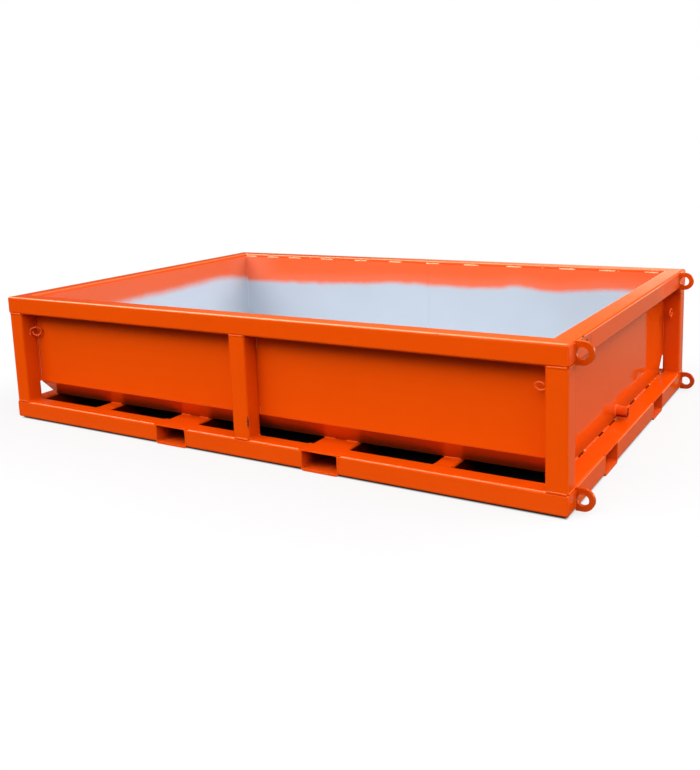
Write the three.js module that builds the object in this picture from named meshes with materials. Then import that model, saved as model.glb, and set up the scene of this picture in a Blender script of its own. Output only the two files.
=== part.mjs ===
// Builders skip: a shallow sheet-steel tub carried in a welded frame of square hollow section,
// with fork pockets through the base, four lifting lugs on one end, tarp hooks and a drain socket.
// Millimetres. X runs along the length, Y from front to back and Z up; the skip stands on z = 0.

import * as THREE from 'three';

// Frame
const frameLength = 3000;
const frameWidth = 2000;
const frameHeight = 650;
const tubeSize = 89;
const tubeWall = 5;
const tubeCornerRadius = 11;
const midPostOffset = 6;
const weldGap = 0.3;

// Base
const crossMemberSpacing = 1914;
const pocketSpacing = 840;
const pocketWidth = 188;
const pocketWall = 6;
const pocketFloorThickness = 10;
const pocketCornerRadius = 12;
const pocketDrop = 7;

// Tub
const sheetThickness = 4;
const sheetBendRadius = 6;
const tubClearance = 2;
const tubTopDrop = 17;
const tubChamfer = 95;

// Lifting lugs: each inset runs from the frame's nearer long face to the plate
const lugThickness = 16;
const lugHoleRadius = 23;
const lugHoleOffset = 27.5;
const lugInsets = { topFront: 66, bottomFront: 88, topBack: 143, bottomBack: 43 };

// Tarp hooks: each drop runs from the top rail's underside to the middle of the loop
const hookBarRadius = 4.5;
const tallHookReach = 68;
const flatHookReach = 56;
const tallLoopHeight = 52;
const flatLoopHeight = 39;
const lowSideHookDrop = 100;
const highSideHookDrop = 86;
const endHookDrop = 135;
const hookTurn = THREE.MathUtils.degToRad(40);

// Drain
const drainRadius = 26;
const drainBoreRadius = 20;
const drainReach = 53;
const drainOffset = -15;
const drainHeight = 36;

// Smoothness, as counts
const cornerSteps = 4;
const bendSteps = 3;
const lugArcSteps = 25;
const lugHoleSides = 24;
const hookSides = 10;
const hookSteps = 36;
const drainSides = 32;

// Worked-out sizes, measured from the underside of the bottom rails
const halfTube = tubeSize / 2;
const lugRadius = halfTube;
const lugReach = lugHoleOffset + lugRadius;
const topRailHeight = frameHeight - halfTube;
const postLength = frameHeight - 2 * tubeSize - 2 * weldGap;
const crossMemberLength = frameWidth - 2 * tubeSize - 2 * weldGap;
const endPocketLength = (frameLength - crossMemberSpacing) / 2 - halfTube - weldGap;
const tubHalfLength = frameLength / 2 - tubeSize - tubClearance;
const tubHalfWidth = frameWidth / 2 - tubeSize - tubClearance;
const tubTop = frameHeight - tubTopDrop;
const tubUnderside = tubeSize + weldGap;

const orange = 0xe84e0a;
const paleZinc = 0xd3dce4;

function paint() {
  return new THREE.MeshStandardMaterial({ color: orange, roughness: 0.2, metalness: 0 });
}

function bareSheet() {
  return new THREE.MeshStandardMaterial({ color: paleZinc, roughness: 0.5, metalness: 0.3 });
}

function addPiece(parent, name, geometry, material, x = 0, y = 0, z = 0, turn = 0) {
  const piece = new THREE.Mesh(geometry, material);
  piece.name = name;
  piece.position.set(x, y, z);
  piece.rotation.z = turn;
  parent.add(piece);
  return piece;
}

// Outlines

function roundedRectangle(left, right, bottom, top, radius) {
  const corners = [
    [right - radius, top - radius],
    [left + radius, top - radius],
    [left + radius, bottom + radius],
    [right - radius, bottom + radius],
  ];
  const points = [];
  corners.forEach(([x, y], quarter) => {
    for (let step = 0; step <= cornerSteps; step += 1) {
      const angle = (quarter + step / cornerSteps) * Math.PI / 2;
      points.push(new THREE.Vector2(x + radius * Math.cos(angle), y + radius * Math.sin(angle)));
    }
  });
  return points;
}

function arcPoints(x, y, radius, start, end, steps) {
  const points = [];
  for (let step = 0; step < steps; step += 1) {
    const angle = start + (end - start) * step / (steps - 1);
    points.push(new THREE.Vector2(x + radius * Math.cos(angle), y + radius * Math.sin(angle)));
  }
  return points;
}

// A full circle leaves out the last point, which would repeat the first.
function circlePoints(x, y, radius, count) {
  return arcPoints(x, y, radius, 0, 2 * Math.PI, count + 1).slice(0, count);
}

function hollowShape(outside, inside) {
  const shape = new THREE.Shape(outside);
  shape.holes.push(new THREE.Path(inside));
  return shape;
}

// Extrudes a shape drawn in Y and Z along X, centred on x = 0.
function extrudeAlongX(shape, length) {
  const geometry = new THREE.ExtrudeGeometry(shape, { depth: length, bevelEnabled: false });
  geometry.rotateX(Math.PI / 2);
  geometry.rotateZ(Math.PI / 2);
  geometry.translate(-length / 2, 0, 0);
  return geometry;
}

// Extrudes a shape drawn in X and Z along Y, centred on y = 0.
function extrudeAlongY(shape, length) {
  const geometry = new THREE.ExtrudeGeometry(shape, { depth: length, bevelEnabled: false });
  geometry.rotateX(Math.PI / 2);
  geometry.translate(0, length / 2, 0);
  return geometry;
}

// Square hollow section

const innerCornerRadius = tubeCornerRadius - tubeWall;
const insideHalf = halfTube - tubeWall;
const tubeShape = hollowShape(
  roundedRectangle(-halfTube, halfTube, -halfTube, halfTube, tubeCornerRadius),
  roundedRectangle(-insideHalf, insideHalf, -insideHalf, insideHalf, innerCornerRadius),
);

// A mitred end is cut back by each point's distance from the rail's outer face, which is at -Y.
function railGeometry(start, end, mitredStart, mitredEnd) {
  const length = end - start;
  const geometry = extrudeAlongX(tubeShape, length);
  const mitreGap = weldGap * Math.SQRT1_2;
  const position = geometry.attributes.position;
  for (let i = 0; i < position.count; i += 1) {
    const cutBack = position.getY(i) + halfTube + mitreGap;
    const x = position.getX(i);
    if (mitredStart && x < 0) {
      position.setX(i, x + cutBack);
    }
    if (mitredEnd && x > 0) {
      position.setX(i, x - cutBack);
    }
  }
  geometry.computeVertexNormals();
  return geometry.translate(start + length / 2, 0, 0);
}

function postGeometry() {
  const geometry = extrudeAlongX(tubeShape, postLength);
  return geometry.rotateY(Math.PI / 2);
}

// Fork pocket: a closed channel whose floor is thicker than its roof and sides

const pocketShape = hollowShape(
  roundedRectangle(-pocketWidth / 2, pocketWidth / 2, -pocketDrop, tubeSize, pocketCornerRadius),
  roundedRectangle(
    pocketWall - pocketWidth / 2,
    pocketWidth / 2 - pocketWall,
    pocketFloorThickness - pocketDrop,
    tubeSize - pocketWall,
    pocketCornerRadius - pocketWall,
  ),
);

// Tub profile: two walls, two sloping panels and the floor, folded from one sheet.
// The outer face follows these corners, and a layer deeper by the sheet gives the inner face.

const tubCorners = [
  new THREE.Vector2(-tubHalfWidth, tubTop),
  new THREE.Vector2(-tubHalfWidth, tubUnderside + tubChamfer),
  new THREE.Vector2(tubChamfer - tubHalfWidth, tubUnderside),
  new THREE.Vector2(tubHalfWidth - tubChamfer, tubUnderside),
  new THREE.Vector2(tubHalfWidth, tubUnderside + tubChamfer),
  new THREE.Vector2(tubHalfWidth, tubTop),
];

function bendPoints(before, corner, after, depth) {
  const outerRadius = sheetBendRadius + sheetThickness;
  const incoming = corner.clone().sub(before).normalize();
  const outgoing = after.clone().sub(corner).normalize();
  const turn = Math.acos(incoming.dot(outgoing));
  const setback = outerRadius * Math.tan(turn / 2);
  const inward = new THREE.Vector2(-incoming.y, incoming.x);
  const centre = corner.clone().addScaledVector(incoming, -setback);
  centre.addScaledVector(inward, outerRadius);
  const points = [];
  for (let step = 0; step <= bendSteps; step += 1) {
    const arm = inward.clone().multiplyScalar(depth - outerRadius);
    arm.rotateAround(new THREE.Vector2(), turn * step / bendSteps);
    points.push(centre.clone().add(arm));
  }
  return points;
}

function tubLine(depth) {
  const last = tubCorners.length - 1;
  const points = [tubCorners[0].clone().add(new THREE.Vector2(depth, 0))];
  for (let i = 1; i < last; i += 1) {
    points.push(...bendPoints(tubCorners[i - 1], tubCorners[i], tubCorners[i + 1], depth));
  }
  points.push(tubCorners[last].clone().add(new THREE.Vector2(-depth, 0)));
  return points;
}

function addTub(parent) {
  const sheetShape = new THREE.Shape([...tubLine(0), ...tubLine(sheetThickness).reverse()]);
  const sheetStart = weldGap / 2;
  const sheetEnd = tubHalfLength - sheetThickness - weldGap;
  const sheetLength = sheetEnd - sheetStart;
  const sheetPlace = (sheetStart + sheetEnd) / 2;
  const plateShape = new THREE.Shape(tubLine(0));
  const drainHoleRadius = drainRadius + weldGap;
  const drainHole = circlePoints(drainOffset, tubUnderside + drainHeight, drainHoleRadius, drainSides);
  const drainedShape = hollowShape(tubLine(0), drainHole);
  const platePlace = tubHalfLength - sheetThickness / 2;
  const sheet = () => extrudeAlongX(sheetShape, sheetLength);
  addPiece(parent, 'tub_sheet_left', sheet(), bareSheet(), -sheetPlace);
  addPiece(parent, 'tub_sheet_right', sheet(), bareSheet(), sheetPlace);
  addPiece(parent, 'tub_end_left', extrudeAlongX(plateShape, sheetThickness), bareSheet(), -platePlace);
  addPiece(parent, 'tub_end_right', extrudeAlongX(drainedShape, sheetThickness), bareSheet(), platePlace);
}

// Drain socket: a short threaded-pipe socket through the right end plate, flush with its inner face

function addDrainSocket(parent) {
  const length = drainReach + sheetThickness;
  const profile = [
    new THREE.Vector2(drainBoreRadius, 0),
    new THREE.Vector2(drainRadius, 0),
    new THREE.Vector2(drainRadius, length),
    new THREE.Vector2(drainBoreRadius, length),
    new THREE.Vector2(drainBoreRadius, 0),
  ];
  const geometry = new THREE.LatheGeometry(profile, drainSides);
  geometry.rotateZ(-Math.PI / 2);
  const x = tubHalfLength - sheetThickness;
  addPiece(parent, 'drain_socket', geometry, paint(), x, drainOffset, tubUnderside + drainHeight);
}

// Frame sides: each is built facing -Y and turned into place, so the same code serves all four.
// low and high name what lies at the start and the end of the side's own X.

const sides = [
  { name: 'front', turns: 0, run: frameLength, depth: frameWidth, low: 'left', high: 'right' },
  { name: 'right', turns: 1, run: frameWidth, depth: frameLength, low: 'front', high: 'back' },
  { name: 'back', turns: 2, run: frameLength, depth: frameWidth, low: 'right', high: 'left' },
  { name: 'left', turns: 3, run: frameWidth, depth: frameLength, low: 'back', high: 'front' },
];

function addRails(side, group) {
  const end = side.run / 2;
  const y = halfTube - side.depth / 2;
  const pocketInner = pocketSpacing / 2 - pocketWidth / 2 - weldGap;
  const pocketOuter = pocketSpacing / 2 + pocketWidth / 2 + weldGap;
  const top = railGeometry(-end, end, true, true);
  const low = railGeometry(-end, -pocketOuter, true, false);
  const centre = railGeometry(-pocketInner, pocketInner, false, false);
  const high = railGeometry(pocketOuter, end, false, true);
  addPiece(group, `top_rail_${side.name}`, top, paint(), 0, y, topRailHeight);
  addPiece(group, `bottom_rail_${side.name}_${side.low}`, low, paint(), 0, y, halfTube);
  addPiece(group, `bottom_rail_${side.name}_centre`, centre, paint(), 0, y, halfTube);
  addPiece(group, `bottom_rail_${side.name}_${side.high}`, high, paint(), 0, y, halfTube);
}

// Tarp hook: a bent bar whose shank is welded up the post and whose end curls into an open loop.
// It is drawn from the shank's own axis, so it can be turned about the shank. The points are
// shares of the reach from there, outwards from the post, and of half the loop's height.

const hookShankInset = weldGap + hookBarRadius;
const tallHookShares = [
  [0, -0.9],
  [0, -0.1],
  [0.06, 0.5],
  [0.26, 0.88],
  [0.56, 1],
  [0.86, 0.66],
  [1, 0],
  [0.87, -0.68],
  [0.6, -1],
  [0.37, -0.82],
  [0.24, -0.36],
  [0.24, 0.1],
];
const flatHookShares = [
  [0, 0.65],
  [0, 0.15],
  [0.1, -0.42],
  [0.3, -0.85],
  [0.6, -1],
  [0.87, -0.6],
  [1, 0.1],
  [0.88, 0.76],
  [0.62, 1],
  [0.39, 0.8],
  [0.26, 0.4],
];

function hookGeometry(reach, loopHeight, pathShares) {
  const spread = reach - hookBarRadius - hookShankInset;
  const rise = loopHeight / 2 - hookBarRadius;
  const points = pathShares.map(([out, up]) => new THREE.Vector3(out * spread, 0, up * rise));
  const section = new THREE.Shape(circlePoints(0, 0, hookBarRadius, hookSides));
  return new THREE.ExtrudeGeometry(section, {
    steps: hookSteps,
    bevelEnabled: false,
    extrudePath: new THREE.CatmullRomCurve3(points),
  });
}

function addHooks(side, group) {
  const onLongSide = side.run === frameLength;
  const x = side.run / 2 - tubeSize - hookShankInset;
  const y = halfTube - side.depth / 2;
  const lowZ = frameHeight - tubeSize - (onLongSide ? lowSideHookDrop : endHookDrop);
  const highZ = frameHeight - tubeSize - (onLongSide ? highSideHookDrop : endHookDrop);
  const lowTurn = onLongSide ? hookTurn : 0;
  const tallHook = hookGeometry(tallHookReach, tallLoopHeight, tallHookShares);
  const flatHook = hookGeometry(flatHookReach, flatLoopHeight, flatHookShares);
  const highHook = onLongSide ? flatHook : tallHook;
  addPiece(group, `tarp_hook_${side.name}_${side.low}`, tallHook, paint(), -x, y, lowZ, lowTurn);
  addPiece(group, `tarp_hook_${side.name}_${side.high}`, highHook, paint(), x, y, highZ, Math.PI);
}

function addEndPockets(side, group) {
  const y = (endPocketLength - side.depth) / 2;
  const places = [[-pocketSpacing / 2, side.low], [pocketSpacing / 2, side.high]];
  for (const [x, name] of places) {
    const geometry = extrudeAlongX(pocketShape, endPocketLength);
    addPiece(group, `end_pocket_${side.name}_${name}`, geometry, paint(), x, y, 0, Math.PI / 2);
  }
}

function addMidPost(side, group) {
  const x = side.turns === 0 ? midPostOffset : -midPostOffset;
  const y = halfTube - side.depth / 2;
  addPiece(group, `mid_post_${side.name}`, postGeometry(), paint(), x, y, frameHeight / 2);
}

function addSides(parent) {
  for (const side of sides) {
    const group = new THREE.Group();
    group.rotation.z = side.turns * Math.PI / 2;
    addRails(side, group);
    addHooks(side, group);
    if (side.run === frameLength) {
      addMidPost(side, group);
    } else {
      addEndPockets(side, group);
    }
    parent.add(group);
  }
}

function addCornerPosts(parent) {
  for (const [across, ySign] of [['front', -1], ['back', 1]]) {
    for (const [along, xSign] of [['left', -1], ['right', 1]]) {
      const x = xSign * (frameLength / 2 - halfTube);
      const y = ySign * (frameWidth / 2 - halfTube);
      addPiece(parent, `corner_post_${across}_${along}`, postGeometry(), paint(), x, y, frameHeight / 2);
    }
  }
}

function addBase(parent) {
  for (const [along, sign] of [['left', -1], ['right', 1]]) {
    const pocket = extrudeAlongX(pocketShape, frameWidth);
    const member = extrudeAlongX(tubeShape, crossMemberLength);
    const pocketX = sign * pocketSpacing / 2;
    const memberX = sign * crossMemberSpacing / 2;
    addPiece(parent, `fork_pocket_${along}`, pocket, paint(), pocketX, 0, 0, Math.PI / 2);
    addPiece(parent, `cross_member_${along}`, member, paint(), memberX, 0, halfTube, Math.PI / 2);
  }
}

// Lifting lug: a D-shaped plate as tall as the rail that it is welded to, with a shackle hole

function lugGeometry() {
  const outside = [
    new THREE.Vector2(0, -lugRadius),
    ...arcPoints(lugHoleOffset, 0, lugRadius, -Math.PI / 2, Math.PI / 2, lugArcSteps),
    new THREE.Vector2(0, lugRadius),
  ];
  const hole = circlePoints(lugHoleOffset, 0, lugHoleRadius, lugHoleSides);
  return extrudeAlongY(hollowShape(outside, hole), lugThickness);
}

function addLugs(parent) {
  const x = frameLength / 2 + weldGap;
  const frontY = (inset) => inset + lugThickness / 2 - frameWidth / 2;
  const backY = (inset) => frameWidth / 2 - inset - lugThickness / 2;
  const places = [
    ['lug_top_front', frontY(lugInsets.topFront), topRailHeight],
    ['lug_bottom_front', frontY(lugInsets.bottomFront), halfTube],
    ['lug_top_back', backY(lugInsets.topBack), topRailHeight],
    ['lug_bottom_back', backY(lugInsets.bottomBack), halfTube],
  ];
  for (const [name, y, z] of places) {
    addPiece(parent, name, lugGeometry(), paint(), x, y, z);
  }
}

// The pockets' undersides stand on z = 0, and the lugs count in the length that x = 0 halves.

const skip = new THREE.Group();
skip.name = 'builders_skip';
const frame = new THREE.Group();
frame.position.set(-(lugReach + weldGap) / 2, 0, pocketDrop);
skip.add(frame);
addSides(frame);
addCornerPosts(frame);
addBase(frame);
addTub(frame);
addDrainSocket(frame);
addLugs(frame);

export default skip;
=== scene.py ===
# Looks of a builders skip: glossy orange frame, pale tub with overspray at its rim, weld beads
# and wear. Everything is in metres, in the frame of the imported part.
import math

import bmesh
import bpy
from mathutils import Matrix, Vector, noise


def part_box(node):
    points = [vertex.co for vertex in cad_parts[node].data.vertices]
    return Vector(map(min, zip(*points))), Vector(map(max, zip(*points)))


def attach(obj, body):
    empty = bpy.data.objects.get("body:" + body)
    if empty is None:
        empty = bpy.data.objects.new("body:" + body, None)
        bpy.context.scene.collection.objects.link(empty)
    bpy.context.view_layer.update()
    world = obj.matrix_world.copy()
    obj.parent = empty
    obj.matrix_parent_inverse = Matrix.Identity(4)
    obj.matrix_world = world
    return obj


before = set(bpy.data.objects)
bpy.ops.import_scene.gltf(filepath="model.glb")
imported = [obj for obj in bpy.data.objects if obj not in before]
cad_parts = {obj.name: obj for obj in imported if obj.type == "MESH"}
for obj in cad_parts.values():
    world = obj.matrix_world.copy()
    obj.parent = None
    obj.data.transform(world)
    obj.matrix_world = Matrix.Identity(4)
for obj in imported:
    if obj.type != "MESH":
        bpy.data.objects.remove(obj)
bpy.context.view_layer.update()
scene = bpy.context.scene

# Camera, read off the photograph's 700 x 770 pixels
image_width = 700
image_height = 770
focal_length_pixels = 895.8
optical_centre_pixels = (350, 300)
sensor_width_mm = 36
camera_place = Vector((2.4226, -4.0150, 1.3687))
camera_yaw = math.radians(-31.60)
camera_pitch = math.radians(9.71)
camera_roll = math.radians(-2.05)

# Sky: its level under the horizon, in mid sky and overhead, then the heights between which mid
# sky and overhead take over. A height is the upward share of a direction. The soft sky lights
# diffuse surfaces. Glossy rays see the mirrored sky of a yard, slightly warm, with haze along
# the horizon, a low glow except towards the left, and one bright patch.
soft_sky = ((0.10, 3.8, 0.65), (0.27, 0.59), (0.62, 0.90))
mirrored_sky = ((0.08, 1.3, 1.0), (0.36, 0.58), (0.76, 0.90))
mirrored_haze = 0.70
haze_span = (0.02, 0.13)
mirrored_glow = 1.15
glow_span = (0.08, 0.21)
glow_side_span = (-0.55, -0.15)
mirrored_tint = (1.00, 0.95, 0.70)
lamp_direction = (-0.50, 0.0, 0.866)
lamp_level = 8.0
lamp_span = (0.88, 0.95)

# The soft light comes mostly from the front, the right and the corners beside them, and hardly
# from the back left, as in the photograph
brighter_side = (1.15, -1.00, 0.0)
side_contrast = 0.65
corner_contrast = 2.4
least_side = 0.12

# Floor: how light it is to the camera, to diffuse light, under the skip, where it is dark as a
# painted shadow, and as the paint mirrors it in front of the frame, behind it and far behind it
floor_half_size = 60.0
floor_glow = 0.79
floor_level_seen = 0.12
floor_level = 0.05
floor_level_painted_shadow = 0.015
floor_levels_mirrored = (0.008, 0.150, 0.40)
far_span = (3.8, 7.0)
footprint_edge = 0.02
yard_edge = 0.6

# Weld beads: how they are drawn
bead_step = 0.0014
least_bead_steps = 4
bead_ripple_length = 0.0042
bead_ripple_share = 0.06
bead_wave_length = 0.021
bead_wave_share = 0.28
bead_end = 0.004
bead_sink = 0.0006
least_bead_share = 0.12
bead_sharp_angle = math.radians(55)
section_steps = 6
ring_steps = 72
mitre_corner_steps = 6

# Weld beads: sizes. A leg is a fillet's width on each of its two surfaces
fillet_leg = 0.006
fillet_bulge_share = 0.12
rim_leg = 0.006
foot_leg = 0.0045
lug_leg = 0.0035
floor_leg = 0.007
tub_seam_leg = 0.005
flush_width = 0.009
flush_height = 0.0016
seam_width = 0.006
seam_height = 0.0014
ground_height = 0.0003
slit_width = 0.003
weld_start_length = 0.010
seal_radius = 0.0044
mitre_half_width = 0.0022
mitre_inside = 0.002
corner_radius = 0.011
flush_tolerance = 0.001
groove_inset = 0.001
pocket_groove_extra = 0.002
pocket_groove_depth_share = 0.8
member_groove_extra = 0.004
member_groove_depth_share = 0.6
lug_bead_inset_share = 0.7

# Tarp hooks, and the shares of their half height between which their welds run
hook_bar_radius = 0.0045
hook_weld_width = 0.006
hook_weld_height = 0.0045
tall_hook_weld_shares = (-0.9, -0.1)
flat_hook_weld_shares = (0.15, 0.65)
flat_hooks = ("tarp_hook_front_right", "tarp_hook_back_left")

# Weld stitches, along X from the frame's left end and along Y from its front
back_rim_stitches = (
    (0.095, 0.182), (0.277, 0.370), (0.454, 0.553), (0.630, 0.637), (0.713, 0.808),
    (0.975, 1.066), (1.230, 1.318), (1.489, 1.580), (1.744, 1.840), (2.013, 2.108),
    (2.231, 2.239), (2.330, 2.427), (2.560, 2.652), (2.664, 2.672), (2.808, 2.880),
)
end_wall_stitches = (
    (0.190, 0.409), (0.489, 0.695), (0.770, 0.865), (0.959, 1.222), (1.324, 1.537),
    (1.617, 1.731), (1.743, 1.845), (1.857, 1.905),
)
rim_stitch_pitch = 0.25
rim_stitch_length = 0.09
stitch_shift_share = 0.2
floor_stitch_length = 0.06
floor_stitch_inset_share = 0.6
mid_post_stitches = ((0.184, 0.225), (0.488, 0.558))

# Tub: the sloping panels between its walls and floor rise this far
tub_chamfer = 0.095

# Lower edge of the overspray in the tub: place along the wall, height over the rails' underside
back_overspray = (
    (0.112, 0.459), (0.777, 0.470), (1.303, 0.496), (1.715, 0.492), (1.973, 0.500),
    (2.073, 0.516), (2.159, 0.509), (2.309, 0.494), (2.567, 0.519), (2.880, 0.520),
)
end_overspray = (
    (0.095, 0.470), (0.805, 0.496), (1.211, 0.503), (1.640, 0.508), (1.768, 0.496),
    (1.905, 0.470),
)
overspray_fade = (-0.014, 0.026)
end_fade_share = 1.6
overspray_grain = 0.032
overspray_waves = 0.020
thin_paint_height = 0.10
thin_corner_reach = (0.06, 0.34)
thin_on_ends_share = 0.4
# Painted shade: the overspray on the end walls is darker
end_wall_shade_share = 0.85
end_wall_tilt = 0.5

# Scuffs that show in the photograph: place and reach, from the frame's left end, front and
# rail underside. A spot is full up to the core share of its reach.
scuffs = (
    ((2.999, 0.170, 0.646), (0.004, 0.030, 0.008)),
    ((2.999, 0.215, 0.622), (0.004, 0.022, 0.010)),
    ((3.000, 0.262, 0.618), (0.004, 0.006, 0.022)),
    ((1.547, 0.003, 0.170), (0.007, 0.006, 0.045)),
    ((2.487, 0.002, 0.646), (0.010, 0.006, 0.006)),
    ((1.040, 0.004, 0.004), (0.018, 0.012, 0.006)),
    ((1.075, 0.010, 0.004), (0.012, 0.014, 0.006)),
)
spot_core_share = 0.45

# Dull places on the right end's top rail, beside the lugs, where the paint mirrors little
dull_spots = (
    ((3.000, 0.030, 0.605), (0.010, 0.075, 0.075)),
    ((3.000, 1.700, 0.605), (0.010, 0.420, 0.110)),
)

# Colours, as linear light
white = (1, 1, 1)
black = (0, 0, 0)
orange_paint = (0.820, 0.078, 0.0010)
orange_deep = (0.790, 0.072, 0.0008)
# Painted sheen on the top rails' upper faces
orange_painted_sheen = (0.860, 0.130, 0.018)
orange_inside = (0.800, 0.092, 0.008)
orange_thin = (0.760, 0.135, 0.052)
# Painted light: the tarp hooks' orange is lighter, standing in for the light that they catch
hook_orange_painted_light = (0.960, 0.150, 0.035)
pale_sheet = (0.440, 0.500, 0.570)
pale_sheet_dull = (0.405, 0.460, 0.530)
# Pale weld: partly bare metal, partly a painted highlight
pale_weld_and_highlight = (0.850, 0.270, 0.120)
scuff_dark = (0.020, 0.007, 0.006)
# Painted shade deep inside the fork pockets, over their thin paint
pocket_shade_dark = (0.200, 0.010, 0.001)
# Painted shade on the drain socket's underside
drain_shade_dark = (0.180, 0.010, 0.001)
# Painted shade, for the base's inner sides and the tub's underside
painted_shade_dark = (0.110, 0.007, 0.001)
lug_light_share = 0.72
patch_share = 0.7

# Noise patterns of the finishes: scale, detail and roughness. A pattern's value and a place's
# share of its piece's box run from 0 to 1.
patch_noise = (1.6, 3.0, 0.5)
mottle_noise = (14.0, 4.0, 0.5)
gloss_noise = (mottle_noise[0], 5.0, 0.6)
panel_wave_noise = (3.2, 1.0, 0.5)
peel_noise = (420.0, 1.0, 0.5)
scuff_noise = (190.0, 3.0, 0.65)
pocket_noise = (30.0, 3.0, 0.5)
overspray_wave_noise = (9.0, 3.0, 0.5)
overspray_grain_noise = (260.0, 2.0, 0.5)
cloud_noise = (1.7, 2.0, 0.5)
dusting_and_highlight_noise = (70.0, 3.0, 0.5)
weld_grain_noise = (700.0, 3.0, 0.5)
noise_middle = 0.5
box_middle = (0.5, 0.5, 0.5)

# The span of each pattern over which its effect grows from nothing to full
patch_span = (0.3, 0.7)
gloss_span = (0.3, 0.75)
scuff_span = (0.34, 0.46)
cloud_span = (0.2, 0.8)
dusting_and_highlight_span = (0.25, 0.6)

# Bump depths and roughness. The dull and pocket values are added to the enamel's roughness.
panel_wave_depth = 0.0012
peel_depth = 0.00003
weld_grain_depth = 0.0002
gloss_roughness = (0.02, 0.07)
dull_roughness = 0.4
pocket_roughness = 0.35
drain_roughness = 0.24
sheet_roughness = 0.60

# Painted sheen, lighter paint on the top rails' upper faces, with its reach from the frame's left
# end; then painted shade, dark paint on the base's inner sides, low under the tub, in the pockets,
# where the paint is also thin, and under the drain
sheen_depth = 0.008
sheen_tilt_span = (0.80, 0.97)
sheen_reach = (0.3, 1.7)
base_shade_fade = 0.012
base_shade_reach = (-0.092, -0.080)
under_shade_share = 0.55
pocket_shade_span = (-0.12, -0.015)
pocket_shade_jitter = 0.05
drain_shade_span = (0.15, 0.50)

# Edges of the carried-over solids, by how the names start
edge_widths = {"lug": 0.0018, "drain": 0.0012, "tub": 0.0006}
frame_edge_width = 0.0010
edge_segments = 2
smooth_angle = math.radians(30)
flat_face_weight = 80
merge_distance = 0.00001
round_bar_levels = 2

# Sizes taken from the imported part
front_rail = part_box("top_rail_front")
back_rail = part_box("top_rail_back")
low_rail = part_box("bottom_rail_front_left")
frame_left = front_rail[0].x
frame_right = front_rail[1].x
frame_front = front_rail[0].y
frame_back = back_rail[1].y
frame_top = front_rail[1].z
top_rail_under = front_rail[0].z
tube_size = frame_top - top_rail_under
low_rail_top = low_rail[1].z
rail_under = low_rail[0].z
left_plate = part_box("tub_end_left")
right_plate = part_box("tub_end_right")
sheet_thickness = right_plate[1].x - right_plate[0].x
tub_front = right_plate[0].y
tub_back = right_plate[1].y
tub_under = right_plate[0].z
tub_top = right_plate[1].z
frame_middle_x = (frame_left + frame_right) / 2
tub_centre = Vector((frame_middle_x, 0, 2 * frame_top))

corner_posts = (
    "corner_post_front_left", "corner_post_front_right",
    "corner_post_back_left", "corner_post_back_right",
)
mid_posts = ("mid_post_front", "mid_post_back")
tub_bearers = (
    "cross_member_left", "fork_pocket_left", "fork_pocket_right", "cross_member_right",
)
along_x = Vector((1, 0, 0))
along_y = Vector((0, 1, 0))
up = Vector((0, 0, 1))

# The frame's ends and long sides: name, place and the sign of the way out
frame_ends = (("left", frame_left, -1), ("right", frame_right, 1))
frame_sides = (("front", frame_front, -1), ("back", frame_back, 1))


def from_corner(x, y, z):
    """A place given from the frame's front left corner and the rails' underside."""
    return Vector((frame_left + x, frame_front + y, rail_under + z))


def add_object(name, data):
    made = bpy.data.objects.new(name, data)
    scene.collection.objects.link(made)
    return made


def build_camera():
    data = bpy.data.cameras.new("camera")
    data.sensor_width = sensor_width_mm
    data.lens = focal_length_pixels * sensor_width_mm / image_height
    data.shift_x = (image_width / 2 - optical_centre_pixels[0]) / image_height
    data.shift_y = (optical_centre_pixels[1] - image_height / 2) / image_height
    camera = add_object("camera", data)
    turn = Matrix.Rotation(-camera_yaw, 4, "Z")
    tilt = Matrix.Rotation(math.pi / 2 - camera_pitch, 4, "X")
    roll = Matrix.Rotation(camera_roll, 4, "Z")
    camera.matrix_world = Matrix.Translation(camera_place) @ turn @ tilt @ roll
    scene.camera = camera


# Nodes

def empty_tree(owner):
    owner.use_nodes = True
    owner.node_tree.nodes.clear()
    return owner.node_tree


def add_node(tree, kind, inputs=None, family="ShaderNode", **settings):
    """A new node. Its inputs are other nodes' outputs or plain values."""
    made = tree.nodes.new(family + kind)
    for key, value in settings.items():
        setattr(made, key, value)
    for key, value in (inputs or {}).items():
        if isinstance(value, bpy.types.NodeSocket):
            tree.links.new(value, made.inputs[key])
        else:
            made.inputs[key].default_value = value
    return made


def calculate(tree, operation, *values):
    return add_node(tree, "Math", dict(enumerate(values)), operation=operation).outputs[0]


def multiply(tree, first, *others):
    for other in others:
        first = calculate(tree, "MULTIPLY", first, other)
    return first


def vector_result(tree, operation, *values, output="Vector"):
    made = add_node(tree, "VectorMath", dict(enumerate(values)), operation=operation)
    return made.outputs[output]


def dot_product(tree, first, second):
    return vector_result(tree, "DOT_PRODUCT", first, second, output="Value")


def split_axes(tree, vector):
    """The X, Y and Z of a vector, as three outputs."""
    return add_node(tree, "SeparateXYZ", {0: vector}).outputs


def surface_axes(tree, name):
    """The X, Y and Z of the surface's Position or Normal in the world."""
    return split_axes(tree, add_node(tree, "NewGeometry").outputs[name])


def noise_at(tree, place, pattern):
    scale, detail, roughness = pattern
    inputs = {"Vector": place, "Scale": scale, "Detail": detail, "Roughness": roughness}
    return add_node(tree, "TexNoise", inputs).outputs[0]


def centred_noise(tree, place, pattern):
    return calculate(tree, "SUBTRACT", noise_at(tree, place, pattern), noise_middle)


def ramp(tree, value, low, high, start=0.0, end=1.0):
    """Goes smoothly from start to end as the value goes from low to high."""
    inputs = dict(enumerate((value, low, high, start, end)))
    return add_node(tree, "MapRange", inputs, interpolation_type="SMOOTHSTEP").outputs[0]


def choose(tree, factor, first, second):
    """The first value where the factor is 0, and the second where it is 1."""
    return add_node(tree, "Mix", {0: factor, 2: first, 3: second}, data_type="FLOAT").outputs[0]


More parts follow.
